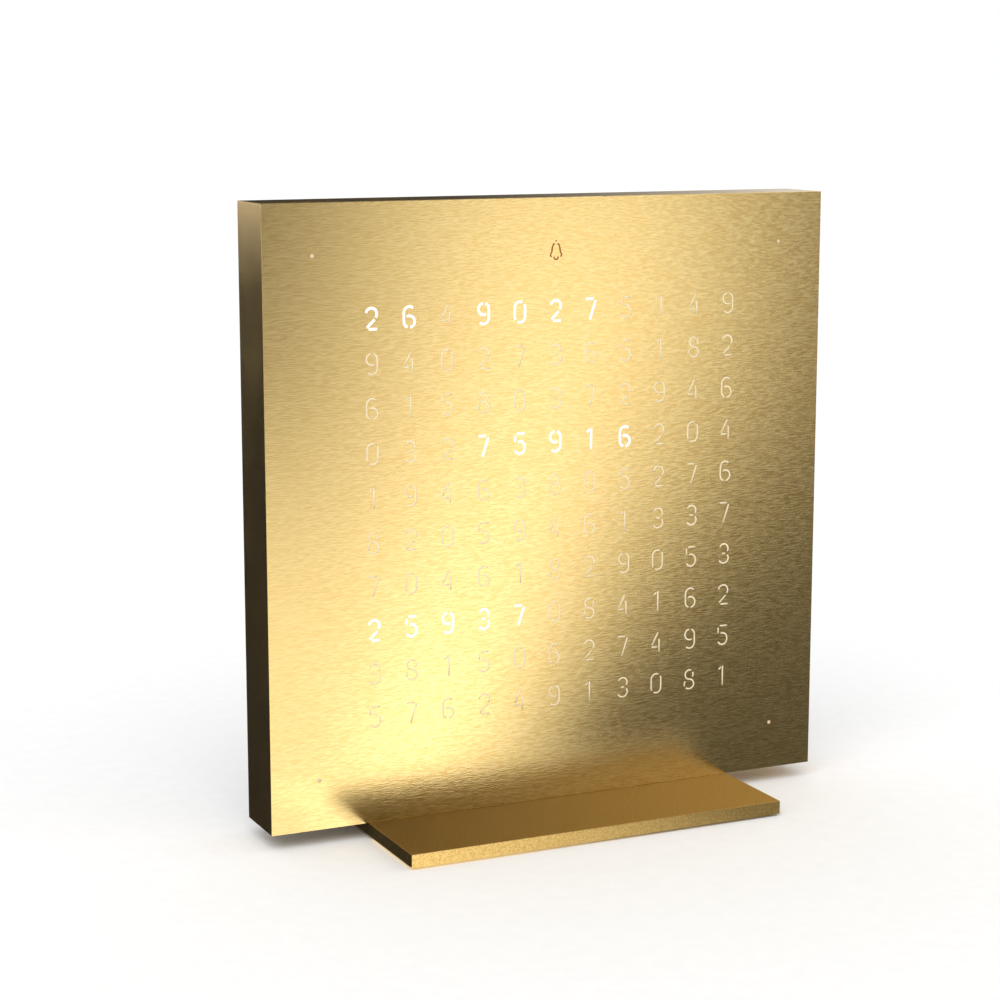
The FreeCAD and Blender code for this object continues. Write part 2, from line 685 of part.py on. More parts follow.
def make_backup_battery():
    """Coin cell in a moulded holder, with a sprung clip over its top."""
    place_of = ("-cell_x", "-middle_drop")
    room = "(cell_radius + cell_gap)"
    outside = f"2 * ({room} + holder_wall)"
    holder = new_body("cell_holder", "board_back", *place_of)
    block = new_sketch(holder, "HolderOutline")
    rectangle(block, outside, outside)
    pad(holder, block, "holder_floor + cell_thickness")
    bowl = new_sketch(holder, "HolderBowl", offset="holder_floor")
    circle(bowl, room)
    pocket(holder, bowl, "cell_thickness")
    slot = new_sketch(holder, "HolderSlot", offset="holder_floor")
    rectangle(slot, f"{outside} + 1", "clip_width + 2 * cell_gap")
    pocket(holder, slot, "cell_thickness")

    cell = new_body("backup_cell", "board_back + holder_floor", *place_of)
    disc = new_sketch(cell, "CellDisc")
    circle(disc, "cell_radius")
    pad(cell, disc, "cell_thickness")

    clip = new_body("cell_clip", "board_back", *place_of)
    profile = new_sketch(clip, "ClipProfile", "XY_Plane", "-clip_width / 2")
    top, outer = "holder_floor + cell_thickness", f"{room} + clip_thickness"
    bridge = [
        (f"-{room}", "holder_floor"),
        (f"-{room}", top),
        (room, top),
        (room, "holder_floor"),
        (outer, "holder_floor"),
        (outer, f"{top} + clip_thickness"),
        (f"-({outer})", f"{top} + clip_thickness"),
        (f"-({outer})", "holder_floor"),
    ]
    outline(profile, bridge)
    pad(clip, profile, "clip_width", forward=True)


def make_sounder():
    """Square buzzer with a round sound port."""
    body = new_body("sounder", "board_back", "sounder_x", "-middle_drop")
    block = new_sketch(body, "SounderOutline")
    rectangle(block, "sounder_width", "sounder_width")
    pad(body, block, "sounder_height")
    port = new_sketch(body, "SounderPort", offset="sounder_height")
    circle(port, "sounder_port")
    pocket(body, port, "sounder_height / 3", forward=True)


def make_touch_spring():
    """Bent strip from the board's back up to the case's top wall."""
    body = new_body("touch_spring", "board_back")
    profile = new_sketch(body, "SpringProfile", "YZ_Plane", "-spring_width / 2")
    strip, reach, top = "spring_strip", "spring_reach", "inner_half_height"
    bend = "(board_half_height - 3 * spring_strip)"
    bent = [
        ("0", f"{bend} - spring_foot"),
        (strip, f"{bend} - spring_foot"),
        (strip, f"{bend} - {strip}"),
        (reach, f"{bend} - {strip}"),
        (reach, top),
        (f"{reach} / 3", top),
        (f"{reach} / 3", f"{top} - {strip}"),
        (f"{reach} - {strip}", f"{top} - {strip}"),
        (f"{reach} - {strip}", bend),
        ("0", bend),
    ]
    outline(profile, bent)
    pad(body, profile, "spring_width", forward=True)


# ---------------------------------------------------------------- buttons and inlet


def square_pad(body, name, width, start, length):
    sketch = new_sketch(body, name, offset=start)
    rectangle(sketch, width, width)
    return pad(body, sketch, length)


def square_pocket(body, name, width, start, length):
    sketch = new_sketch(body, name, offset=start)
    rectangle(sketch, width, width)
    return pocket(body, sketch, length)


def make_switches():
    """Four switch housings, each with a snap leaf on its floor."""
    body = new_body("switch_housings", "board_back", "button_row_x", "button_z")
    block = square_pad(body, "SwitchBlock", "switch_width", "0", "switch_height")
    inside = "switch_height - switch_lid - switch_floor"
    cavity = square_pocket(body, "SwitchCavity", "switch_cavity", "switch_floor", inside)
    opening = "plunger_width + 2 * plunger_gap"
    lid = "switch_height - switch_lid"
    mouth = square_pocket(body, "SwitchMouth", opening, lid, "switch_lid")
    repeat(body, [block, cavity, mouth], len(BUTTONS), f"{len(BUTTONS) - 1} * button_pitch")

    leaves = new_body("switch_leaves", "board_back + switch_floor", "button_row_x", "button_z")
    arch = new_sketch(leaves, "LeafArch", "XY_Plane", "-leaf_width / 2")
    foot, crown = "leaf_length / 2", "leaf_length / 5"
    inner = "leaf_rise - leaf_sheet"
    arch_line = [
        (f"-{foot}", "0"),
        (f"-{crown}", "leaf_rise"),
        (crown, "leaf_rise"),
        (foot, "0"),
        (f"{foot} - 2 * leaf_sheet", "0"),
        (f"{crown} - leaf_sheet", inner),
        (f"leaf_sheet - {crown}", inner),
        (f"2 * leaf_sheet - {foot}", "0"),
    ]
    outline(arch, arch_line)
    leaf = pad(leaves, arch, "leaf_width", forward=True)
    repeat(leaves, [leaf], len(BUTTONS), f"{len(BUTTONS) - 1} * button_pitch")


def make_button(place_in_row, purpose):
    """A push button, and the switch plunger on which its cross-shaped stem rests."""
    x = f"button_row_x + {place_in_row} * button_pitch"
    button = new_body(f"{purpose}_button", "button_front", x, "button_z")
    stem = new_sketch(button, f"{purpose}_stem")
    near, far = "stem_rib / 2", "stem_width / 2"
    arm = [(far, near), (near, near), (near, far)]
    cross = arm + [(f"-{a}", b) for a, b in reversed(arm)]
    cross += [(f"-{a}", f"-{b}") for a, b in arm] + [(a, f"-{b}") for a, b in reversed(arm)]
    outline(stem, cross)
    pad(button, stem, "flange_front")
    wide = "2 * (button_radius + button_flange)"
    square_pad(button, f"{purpose}_flange", wide, "flange_front", "flange_thickness")
    cap = new_sketch(button, f"{purpose}_cap", offset="flange_back")
    circle(cap, "button_radius")
    pad(button, cap, "cap_back - flange_back")

    plunger = new_body(f"{purpose}_plunger", "board_back", x, "button_z")
    collar = "collar_top - collar_height"
    square_pad(plunger, f"{purpose}_nub", "nub_width", f"{collar} - nub_height", "nub_height")
    lip = "plunger_width + 2 * collar_lip"
    square_pad(plunger, f"{purpose}_collar", lip, collar, "collar_height")
    shaft = "plunger_top - collar_top"
    square_pad(plunger, f"{purpose}_shaft", "plunger_width", "collar_top", shaft)


def make_power_inlet():
    """Round socket set through the board, with its centre contact."""
    spot = ("socket_x", "socket_z")
    body = new_body("power_socket", "board_back", *spot)
    wide = "socket_opening + 2 * socket_flange"
    square_pad(body, "SocketFlange", wide, "0", "socket_flange")
    tail = "board_thickness + socket_tail"
    to_cover = f"{tail} + cover_inside - slide_gap - board_back"
    square_pad(body, "SocketBlock", "socket_width", f"-({tail})", to_cover)
    neck = new_sketch(body, "SocketNeck", offset="socket_flange")
    circle(neck, "socket_neck")
    pad(body, neck, "socket_mouth - socket_flange")
    bore = new_sketch(body, "SocketBore", offset="socket_mouth")
    circle(bore, "inlet_radius")
    pocket(body, bore, "inlet_depth", forward=True)

    contact = new_body("socket_pin", "board_back + socket_mouth - inlet_depth", *spot)
    pin = new_sketch(contact, "ContactPin")
    circle(pin, "pin_radius")
    pad(contact, pin, "inlet_depth - pin_sink")


# ---------------------------------------------------------------- rear cover


def make_cover_fixings():
    """What the cover is fixed to: ledges for its hooks and tapped blocks for its screws."""
    high = "inner_half_height - ledge_height / 2"
    ledges = new_body("cover_ledges", "ledge_front", "-(hook_x)", high)
    sketch = new_sketch(ledges, "LedgeOutline")
    rectangle(sketch, "ledge_length", "ledge_height")
    bar = pad(ledges, sketch, "ledge_depth")
    repeat(ledges, [bar], 2, "2 * hook_x")

    blocks = new_body("screw_blocks", "block_front", "-(block_x)", "block_z")
    sketch = new_sketch(blocks, "BlockOutline")
    rectangle(sketch, "block_width", "block_height")
    circle(sketch, "screw_radius + thread_gap")
    block = pad(blocks, sketch, "block_depth")
    repeat(blocks, [block], 2, "2 * block_x")

    screws = new_body("cover_screws", "screw_seat", "-(block_x)", "block_z")
    profile = [
        ("0", "-screw_length"),
        ("screw_radius", "-screw_length"),
        ("screw_radius", "0"),
        ("screw_head", "0"),
        ("screw_head", "screw_head_height"),
        ("0", "screw_head_height"),
    ]
    screw = turn(screws, profile)
    key = new_sketch(screws, "CoverScrewKey", offset="screw_head_height")
    hexagon(key, "socket_key * screw_head")
    cut = pocket(screws, key, "0.6 * screw_head_height", forward=True)
    repeat(screws, [screw, cut], 2, "2 * block_x")


def make_rear_cover():
    """Moulded cover. Its origin lies at the front edge of the skirt inside the case."""
    body = new_body("rear_cover", "cover_front")
    sketch = new_sketch(body, "CoverOutline")
    rectangle(sketch, "2 * cover_half_width", "2 * cover_half_height")
    block = pad(body, sketch, "cover_depth")
    doc.recompute()
    thick = block.Shape.BoundBox.YLength
    edges = enumerate(block.Shape.Edges, start=1)
    upright = [f"Edge{i}" for i, e in edges if abs(e.BoundBox.YLength - thick) < LEVEL]
    rounded = finish(body, "Fillet", "CoverCorners", Base=(block, upright))
    bind(rounded, Radius="cover_corner")
    bevel(body, rounded, rim(rounded, "back"), "cover_edge")

    inside = new_sketch(body, "CoverInside")
    across, up = "cover_half_width - cover_wall", "cover_half_height - cover_wall"
    rectangle(inside, f"2 * ({across})", f"2 * ({up})")
    pocket(body, inside, "cover_depth - cover_wall")
    add_cover_ribs(body)
    add_cover_supports(body, across, up)
    add_cover_hooks(body)
    add_keyhole(body)
    cut_cover_openings(body)


def add_cover_ribs(body):
    """Ribs across the inner face, and a frame that leads the sound out."""
    ribs = new_sketch(body, "UprightRibs", offset="rib_front - cover_front")
    for x in mirrored("inner_half_width - rib_inset"):
        rectangle(ribs, "rib_width", "2 * cover_half_height - cover_wall", x)
    pad(body, ribs, "rib_height + cover_wall / 2")
    ribs = new_sketch(body, "LevelRibs", offset="rib_front - cover_front")
    for z in ("rib_middle_rise", "rib_lower_z"):
        rectangle(ribs, "2 * cover_half_width - cover_wall", "rib_width", "0", z)
    pad(body, ribs, "rib_height + cover_wall / 2")
    frame = new_sketch(body, "SoundFrame", offset="rib_front - cover_front")
    inner = "sounder_width + 2 * frame_gap"
    for width in (inner, f"{inner} + 2 * frame_wall"):
        rectangle(frame, width, width, "sounder_x", "-middle_drop")
    pad(body, frame, "rib_height + cover_wall / 2")


def add_cover_supports(body, across, up):
    """Bosses that meet the tapped blocks, and posts that press on the board."""
    bosses = new_sketch(body, "ScrewBosses")
    for x in mirrored("block_x"):
        wide, tall = "block_width - 4 * cover_gap", "block_height - 2 * cover_gap"
        rectangle(bosses, wide, tall, x, "block_z")
    pad(body, bosses, "cover_depth - cover_wall / 2")
    reach = "cover_front - board_back"
    posts = new_sketch(body, "BoardPosts", offset=f"-({reach})")
    for x, z in corners(f"{across} - post_inset", f"{up} - post_inset"):
        rectangle(posts, "post_width", "post_width", x, z)
    pad(body, posts, f"{reach} + cover_depth - cover_wall / 2")


def add_cover_hooks(body):
    """Two hooks that reach under the ledges and up in front of them."""
    tongue_top = "inner_half_height - ledge_height - hook_gap"
    behind_nib = "-(2 * hook_gap + ledge_depth)"
    hooked = [
        ("cover_skirt", f"{tongue_top} - hook_tongue"),
        ("cover_skirt", tongue_top),
        (behind_nib, tongue_top),
        (behind_nib, "inner_half_height - hook_gap"),
        (f"{behind_nib} - hook_nib", "inner_half_height - hook_gap"),
        (f"{behind_nib} - hook_nib", f"{tongue_top} - hook_tongue"),
    ]
    for index, x in enumerate(mirrored("hook_x")):
        hook = new_sketch(body, f"Hook{index}", "YZ_Plane", f"{x} - hook_width / 2")
        outline(hook, hooked)
        pad(body, hook, "hook_width", forward=True)


def add_keyhole(body):
    """A closed cup inside the back wall, and the keyhole that opens it."""
    tall, middle = "(cup_top - cup_bottom)", "(cup_top + cup_bottom) / 2"
    start = "cup_front - cover_front"
    cup = new_sketch(body, "KeyholeCup", offset=start)
    rectangle(cup, "2 * (cup_half_width + cup_wall)", f"{tall} + 2 * cup_wall", "0", middle)
    pad(body, cup, "overall_depth - cover_wall / 2 - cup_front")
    room = new_sketch(body, "KeyholeRoom", offset="cup_inside - cover_front")
    rectangle(room, "2 * cup_half_width", tall, "0", middle)
    pocket(body, room, "cover_inside - cup_inside")
    entry = new_sketch(body, "KeyholeEntry", offset="cover_depth")
    circle(entry, "keyhole_radius", "0", "keyhole_z")
    pocket(body, entry, "cover_wall", forward=True)
    slot = new_sketch(body, "KeyholeSlot", offset="cover_depth")
    rectangle(slot, "keyhole_slot", "keyhole_travel", "0", "keyhole_z + keyhole_travel / 2")
    pocket(body, slot, "cover_wall", forward=True)
    seat = new_sketch(body, "KeyholeSeat", offset="cover_depth")
    circle(seat, "keyhole_slot / 2", "0", "keyhole_z + keyhole_travel")
    pocket(body, seat, "cover_wall", forward=True)


def cut_cover_openings(body):
    """Finger recess, button holes, inlet, sound slots and counterbored screw holes."""
    recess_x = f"button_row_x + {len(BUTTONS) - 1} * button_pitch / 2"
    straight = "(recess_length - recess_width)"
    recess = new_sketch(body, "FingerRecess", offset="cover_depth")
    rectangle(recess, straight, "recess_width", recess_x, "button_z")
    pocket(body, recess, "recess_depth", forward=True)
    ends = new_sketch(body, "FingerRecessEnds", offset="cover_depth")
    for x in mirrored(f"{straight} / 2"):
        circle(ends, "recess_width / 2", f"{recess_x} + {x}", "button_z")
    pocket(body, ends, "recess_depth", forward=True)

    holes = new_sketch(body, "CoverHoles")
    for number in range(len(BUTTONS)):
        x = f"button_row_x + {number} * button_pitch"
        circle(holes, "button_radius + button_gap", x, "button_z")
    circle(holes, "socket_neck + socket_gap", "socket_x", "socket_z")
    for step, share in enumerate((0.6, 0.9, 1.0, 0.9, 0.6), start=-2):
        z = f"{step} * sound_pitch - middle_drop"
        rectangle(holes, f"{share} * sound_reach", "sound_slot", "sounder_x", z)
    pocket(body, holes, "cover_depth")

    shanks = new_sketch(body, "ScrewShanks")
    heads = new_sketch(body, "ScrewHeads", offset="screw_seat - cover_front")
    for x in mirrored("block_x"):
        circle(shanks, "screw_radius + shank_gap", x, "block_z")
        circle(heads, "screw_head + head_gap", x, "block_z")
    pocket(body, shanks, "cover_depth")
    pocket(body, heads, "screw_head_height + head_gap")


def check_and_write():
    """Stops on any failed feature or shape, then writes one file for each sub-part."""
    doc.recompute()
    failed = [o.Label for o in doc.Objects if {"Invalid", "Error"} & set(o.State)]
    failed += [p.Label for p in parts if p.Shape.isNull() or not p.Shape.isValid()]
    if failed:
        raise RuntimeError("failed: " + ", ".join(failed))
    os.makedirs("parts", exist_ok=True)
    for part in parts:
        part.Shape.exportStep(f"parts/{part.Label}.step")
        box = part.Shape.BoundBox
        spans = (box.XMin, box.XMax, box.YMin, box.YMax, box.ZMin, box.ZMax)
        print(f"{part.Label:17s}{len(part.Shape.Solids):4d} solids", *[f"{v:8.2f}" for v in spans])


make_front_housing()
make_base_plate()
make_base_foil()
make_foot_bar()
make_base_screws()
make_diffuser_tape()
make_diffuser()
make_light_grid()
make_led_board()
make_leds()
make_chip(
    "driver_chips",
    ("chip_length", "chip_width", "chip_thickness"),
    "-1.5 * chip_pitch",
    "chip_rise",
    count=4,
    width="3 * chip_pitch",
)
make_chip(
    "controller_chip",
    ("controller_width", "controller_width", "controller_thickness"),
    "0",
    "-middle_drop",
)
make_clock_crystal()
make_supply_capacitor()
make_backup_battery()
make_sounder()
make_touch_spring()
make_switches()
for place_in_row, purpose in enumerate(BUTTONS):
    make_button(place_in_row, purpose)
make_power_inlet()
make_cover_fixings()
make_rear_cover()
check_and_write()
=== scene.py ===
import math

import bpy
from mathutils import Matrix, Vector


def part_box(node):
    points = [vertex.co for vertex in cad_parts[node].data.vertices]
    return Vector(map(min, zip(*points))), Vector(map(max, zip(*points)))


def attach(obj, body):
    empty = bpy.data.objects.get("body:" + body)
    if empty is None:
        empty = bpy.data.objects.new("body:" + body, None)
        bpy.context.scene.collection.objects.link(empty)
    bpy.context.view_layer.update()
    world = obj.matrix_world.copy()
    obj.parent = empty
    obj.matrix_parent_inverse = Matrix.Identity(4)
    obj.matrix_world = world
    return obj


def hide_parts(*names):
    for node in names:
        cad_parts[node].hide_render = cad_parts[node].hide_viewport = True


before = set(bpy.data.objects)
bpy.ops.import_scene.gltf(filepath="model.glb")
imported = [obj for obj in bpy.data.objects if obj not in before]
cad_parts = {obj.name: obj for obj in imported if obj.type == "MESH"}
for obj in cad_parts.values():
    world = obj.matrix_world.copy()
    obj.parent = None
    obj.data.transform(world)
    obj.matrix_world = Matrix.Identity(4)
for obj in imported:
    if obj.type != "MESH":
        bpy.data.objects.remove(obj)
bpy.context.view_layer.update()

# Word clock: a brushed gold case with digits cut through its front, on a flat foot plate.
# +X is to the right seen from the front, +Y to the back, +Z up. Lengths below are in
# millimetres and become metres where they reach Blender. Angles are in degrees.
MM = 0.001
TOUCHING = 1e-6  # metres within which two places count as one

# The grid of digits, as the light grid and the LEDs behind it are laid out.
COLUMN_PITCH = 8.67
ROW_PITCH = 9.63
MIDDLE_COLUMN = 5
MIDDLE_ROW = 4.5
GRID_MIDDLE = 70.58  # height
ROWS = (
    "26490275149",
    "94027365182",
    "61580372946",
    "03275916204",
    "19463805276",
    "82059461337",
    "70461829053",
    "25937084162",
    "38150627495",
    "57624913081",
)
# The lit columns of each row that has any, both counted from 0 at the upper left.
LIT = {0: (0, 1, 3, 4, 5, 6), 3: (3, 4, 5, 6, 7), 7: (0, 1, 2, 3, 4)}

# The cut-outs and the acrylic that sits in them.
UNLIT_STROKE = 0.36
LIT_STROKE = 0.58
BELL_MIDDLE = 127.1  # height
CASE_MIDDLE = 71.0  # height
MINUTE_HOLES = 56.45  # from the case's middle, across and up
MINUTE_HOLE_WIDTH = 0.9
FILL_GAP = 0.002  # how much narrower the acrylic is than its cut-out
FILL_SINK = 0.01  # how far it stays behind the case's face
MINUTE_SINK = 0.25  # the same in the minute holes
FILL_BACK = 0.02  # how far it stays short of the sheet's inside

# The case's sheet, and the edges and screw holes of the case and the foot plate.
SHEET = 1.5
EDGE_BREAK = 0.08
FOOT_HOLES = 30.0  # from the middle to each screw
FOOT_HOLE_WIDTH = 3.4
COUNTERBORE_WIDTH = 6.0
COUNTERBORE_DEPTH = 1.5
CUTTER_REACH = 1.0  # how far a cutter goes past the metal

CAMERA_PLACE = (-229.1, -472.56, 163.2)
CAMERA_DOWN = 10.02  # how far it looks down from level
CAMERA_RIGHT = 24.948  # how far it is turned to the right
CAMERA_LENS = 85.31

# The slanting bright path that the front mirrors. It lies between two rays from PATH_START, and
# their angles are turned from straight ahead, which is -Y, towards the right.
PATH_START = (-211, 286)
PATH_BRIGHTNESS = 1.75
PATH_LEFT = (21, 29)  # it begins between these angles
PATH_RIGHT = (30.5, 35.5)  # and ends between these, more sharply
PATH_TOP = (100, 300)  # heights between which it fades out up the wall
NEAR_BRIGHTNESS = 1.17  # of the near ground, to the path's left
NEAR_GROUND = (-900, -180)  # the Y where that ground is black and the Y where it is bright
REST_BRIGHTNESS = 0.1  # what is added everywhere

DARK = 0.03  # brightness of a black card


# ---------------------------------------------------------------- objects


def clear_selection():
    """Leaves nothing selected."""
    bpy.ops.object.select_all(action="DESELECT")


def take(*things):
    """Selects things and makes the first active."""
    clear_selection()
    for thing in things:
        thing.select_set(True)
    bpy.context.view_layer.objects.active = things[0]


def settle(thing):
    """Moves a thing's place, turn and size into its mesh and leaves its object at the origin."""
    take(thing)
    bpy.ops.object.transform_apply(location=True, rotation=True, scale=True)
    return thing


def copy_of(thing):
    """A copy, mesh and all."""
    take(thing)
    bpy.ops.object.duplicate()
    return bpy.context.object


def join(name, things):
    """One object made of all the things."""
    take(*things)
    bpy.ops.object.join()
    joined = bpy.context.object
    joined.name = name
    return joined


def add_block(name, low, high):
    """A plain block from its lowest to its highest corner, both in metres."""
    bpy.ops.mesh.primitive_cube_add(size=1, location=(low + high) / 2)
    block = bpy.context.object
    block.name = name
    block.scale = high - low
    return settle(block)


def add_rod(width, length, middle, sides, turn=(0, 0, 0)):
    """A round rod about its middle, upright unless it is turned."""
    bpy.ops.mesh.primitive_cylinder_add(
        vertices=sides,
        radius=width / 2 * MM,
        depth=length * MM,
        location=[along * MM for along in middle],
        rotation=turn,
    )
    return settle(bpy.context.object)


def pick(thing, kind, test):
    """Selects the polygons or edges of a mesh that pass a test, for edit mode."""
    mesh = thing.data
    for items in (mesh.vertices, mesh.edges, mesh.polygons):
        items.foreach_set("select", [False] * len(items))
    for item in getattr(mesh, kind):
        item.select = test(item)


def break_edges(thing, test):
    """Breaks the edges that pass a test."""
    pick(thing, "edges", test)
    bpy.ops.object.mode_set(mode="EDIT")
    bpy.ops.mesh.select_mode(type="EDGE")
    bpy.ops.mesh.bevel(offset=EDGE_BREAK * MM, segments=2)
    bpy.ops.object.mode_set(mode="OBJECT")


def cut(thing, cutter):
    """Cuts the cutter's shape out of a thing."""
    take(thing)
    difference = thing.modifiers.new("cut", "BOOLEAN")
    difference.operation = "DIFFERENCE"
    difference.solver = "EXACT"
    difference.use_self = True
    difference.object = cutter
    bpy.ops.object.modifier_apply(modifier=difference.name)
    bpy.data.objects.remove(cutter)


def coat(thing, *materials):
    """Gives a thing its materials, in place of any that it has."""
    thing.data.materials.clear()
    for material in materials:
        thing.data.materials.append(material)


# ---------------------------------------------------------------- colours and nodes


def colour(hex_code):
    """An sRGB hex value as linear RGBA."""
    channels = [int(hex_code[i : i + 2], 16) / 255 for i in (1, 3, 5)]
    return [c / 12.92 if c <= 0.04045 else ((c + 0.055) / 1.055) ** 2.4 for c in channels] + [1]


def add_node(tree, kind, settings=(), links=()):
    """Adds a node, sets its sockets or properties by name, and links other nodes' outputs to it."""
    node = tree.nodes.new(kind)
    for name, value in dict(settings).items():
        if isinstance(name, int) or name in node.inputs:
            node.inputs[name].default_value = value
        else:
            setattr(node, name, value)
    for name, output in dict(links).items():
        tree.links.new(output, node.inputs[name])
    return node


def new_finish(name, **settings):
    """A material with one Principled shader, its tree and that shader."""
    material = bpy.data.materials.new(name)
    material.use_nodes = True
    shader = material.node_tree.nodes["Principled BSDF"]
    for socket, value in settings.items():
        shader.inputs[socket.replace("_", " ")].default_value = value
    return material, material.node_tree, shader


def place(tree):
    """Where each point is on its object, in metres."""
    return add_node(tree, "ShaderNodeTexCoord").outputs["Object"]


def place_along(tree, axis):
    """Where each point is along X, Y or Z, in metres."""
    return add_node(tree, "ShaderNodeSeparateXYZ", {}, {"Vector": place(tree)}).outputs[axis]


def calculate(tree, operation, *values):
    """The result of a calculation with numbers or other nodes' outputs."""
    node = add_node(tree, "ShaderNodeMath", {"operation": operation})
    for socket, value in zip(node.inputs, values):
        if isinstance(value, (int, float)):
            socket.default_value = value
        else:
            tree.links.new(value, socket)
    return node.outputs[0]


def grain(tree, size, detail=2.0):
    """Noise whose grains measure size, in millimetres along X, Y and Z."""
    per_metre = {"Scale": [1 / (length * MM) for length in size]}
    scaled = add_node(tree, "ShaderNodeMapping", per_metre, {"Vector": place(tree)})
    settings = {"Scale": 1.0, "Detail": detail, "Roughness": 0.5}
    noise = add_node(tree, "ShaderNodeTexNoise", settings, {"Vector": scaled.outputs["Vector"]})
    return noise.outputs["Fac"]


def spread(tree, source, low, high, from_low=0.3, from_high=0.7):
    """Stretches a pattern to run from low to high, and no further."""
    settings = {"From Min": from_low, "From Max": from_high, "To Min": low, "To Max": high}
    return add_node(tree, "ShaderNodeMapRange", settings, {"Value": source}).outputs["Result"]


def paint(tree, shader, share, first, second):
    """Colours the surface by a pattern, from the first colour at 0 to the second at 1."""
    mixed = add_node(tree, "ShaderNodeMix", {"data_type": "RGBA"}, {"Factor": share})
    # The node's colour sockets share their names with its other ones, so they go by number.
    mixed.inputs[6].default_value = colour(first)
    mixed.inputs[7].default_value = colour(second)
    tree.links.new(mixed.outputs[2], shader.inputs["Base Color"])


def relief(tree, shader, pattern, depth, strength=1.0):
    """Raises the surface by a pattern, depth in millimetres."""
    settings = {"Strength": strength, "Distance": depth * MM}
    bump = add_node(tree, "ShaderNodeBump", settings, {"Height": pattern})
    tree.links.new(bump.outputs["Normal"], shader.inputs["Normal"])


# ---------------------------------------------------------------- finishes


def brushed_gold():
    """Gold-plated steel sheet brushed from side to side: short level scratches that spread a
    highlight upwards and downwards more than sideways."""
    material, tree, shader = new_finish(
        "brushed_gold_plated_steel",
        Metallic=1.0,
        Roughness=0.21,
        Anisotropic=0.2,
        Anisotropic_Rotation=0.25,
    )
    # Real brush marks are about 0.05 mm high. These are drawn about 0.2 mm high so that they show.
    short = grain(tree, (0.26, 0.3, 0.18), detail=1.0)
    long = grain(tree, (1.5, 0.4, 0.2), detail=0.0)
    both = spread(tree, calculate(tree, "ADD", short, long), -0.3, 0.3, 0.7, 1.3)
    # The brush pressed less towards the upper left corner, so its marks are shallower there.
    slant = {"operation": "DOT_PRODUCT", 1: (1, 0, -0.25)}
    across = add_node(tree, "ShaderNodeVectorMath", slant, {0: place(tree)}).outputs["Value"]
    press = spread(tree, across, 0.45, 1.0, -80 * MM, -35 * MM)
    marks = calculate(tree, "MULTIPLY", both, press)
    paint(tree, shader, spread(tree, marks, 0, 1, -0.3, 0.3), "#E6C278", "#FDE19E")
    tree.links.new(spread(tree, marks, 0.19, 0.23, -0.3, 0.3), shader.inputs["Roughness"])
    relief(tree, shader, marks, 0.012)
    return material


def satin_gold(name, roughness, dark, light):
    """The same plating over a bead-blasted surface: a fine even grain with no direction."""
    material, tree, shader = new_finish(name, Metallic=1.0, Roughness=roughness)
    # Real blasting pits are about 0.05 mm wide. These are drawn 0.35 mm wide so that they show.
    fine = grain(tree, (0.35, 0.35, 0.35), detail=1.0)
    cloud = grain(tree, (14.0, 14.0, 14.0))
    paint(tree, shader, spread(tree, fine, 0, 1), dark, light)
    dull = spread(tree, cloud, roughness - 0.02, roughness + 0.03)
    tree.links.new(dull, shader.inputs["Roughness"])
    relief(tree, shader, fine, 0.004)
    return material


def acrylic(name, roughness, cloud_size, dark, light):
    """Acrylic set into the cut-outs, very slightly cloudy: the material, its tree and shader."""
    material, tree, shader = new_finish(name, Roughness=roughness, IOR=1.49)
    cloud = grain(tree, (cloud_size,) * 3)
    paint(tree, shader, spread(tree, cloud, 0, 1), dark, light)
    return material, tree, shader


def opal_fill():
    """Cream opal acrylic with its LED off: dull, with a faint orange peel."""
    material, tree, shader = acrylic("opal_cream_acrylic", 0.45, 3.0, "#FAE6BE", "#FFF0CC")
    relief(tree, shader, grain(tree, (0.4, 0.4, 0.4)), 0.003, strength=0.2)
    return material


def lit_fill():
    """The same acrylic with its LED on: white and slightly glowing."""
    material, _, shader = acrylic("lit_opal_acrylic", 0.45, 3.0, "#F6EFE2", "#FFFBF2")
    shader.inputs["Emission Color"].default_value = colour("#FFFFFF")
    shader.inputs["Emission Strength"].default_value = 0.5
    return material


def bell_fill():
    """Smoked brown acrylic in the bell sign, whose LED is off."""
    return acrylic("smoked_brown_acrylic", 0.35, 1.5, "#8A4E10", "#B0660C")[0]


def moulded_plastic(name, dark, light, roughness, grain_size=0.35, depth=0.02):
    """Plastic from a spark-eroded mould: an even, slightly shiny pebble."""
    material, tree, shader = new_finish(name, Roughness=roughness, IOR=1.53)
    pebble = grain(tree, (grain_size,) * 3, detail=3.0)
    cloud = grain(tree, (20.0, 20.0, 20.0))
    paint(tree, shader, spread(tree, cloud, 0, 1), dark, light)
    dull = spread(tree, pebble, roughness - 0.06, roughness + 0.06)
    tree.links.new(dull, shader.inputs["Roughness"])
    relief(tree, shader, pebble, depth, strength=0.6)
    return material


def drawn_metal(name, dark, light, roughness, marks=(0.6, 0.6, 0.6)):
    """Small metal parts: faint marks from rolling, turning or plating."""
    material, tree, shader = new_finish(name, Metallic=1.0, Roughness=roughness)
    pattern = grain(tree, marks, detail=3.0)
    paint(tree, shader, spread(tree, pattern, 0, 1), dark, light)
    dull = spread(tree, pattern, roughness - 0.05, roughness + 0.07)
    tree.links.new(dull, shader.inputs["Roughness"])
    relief(tree, shader, pattern, 0.004, strength=0.3)
    return material


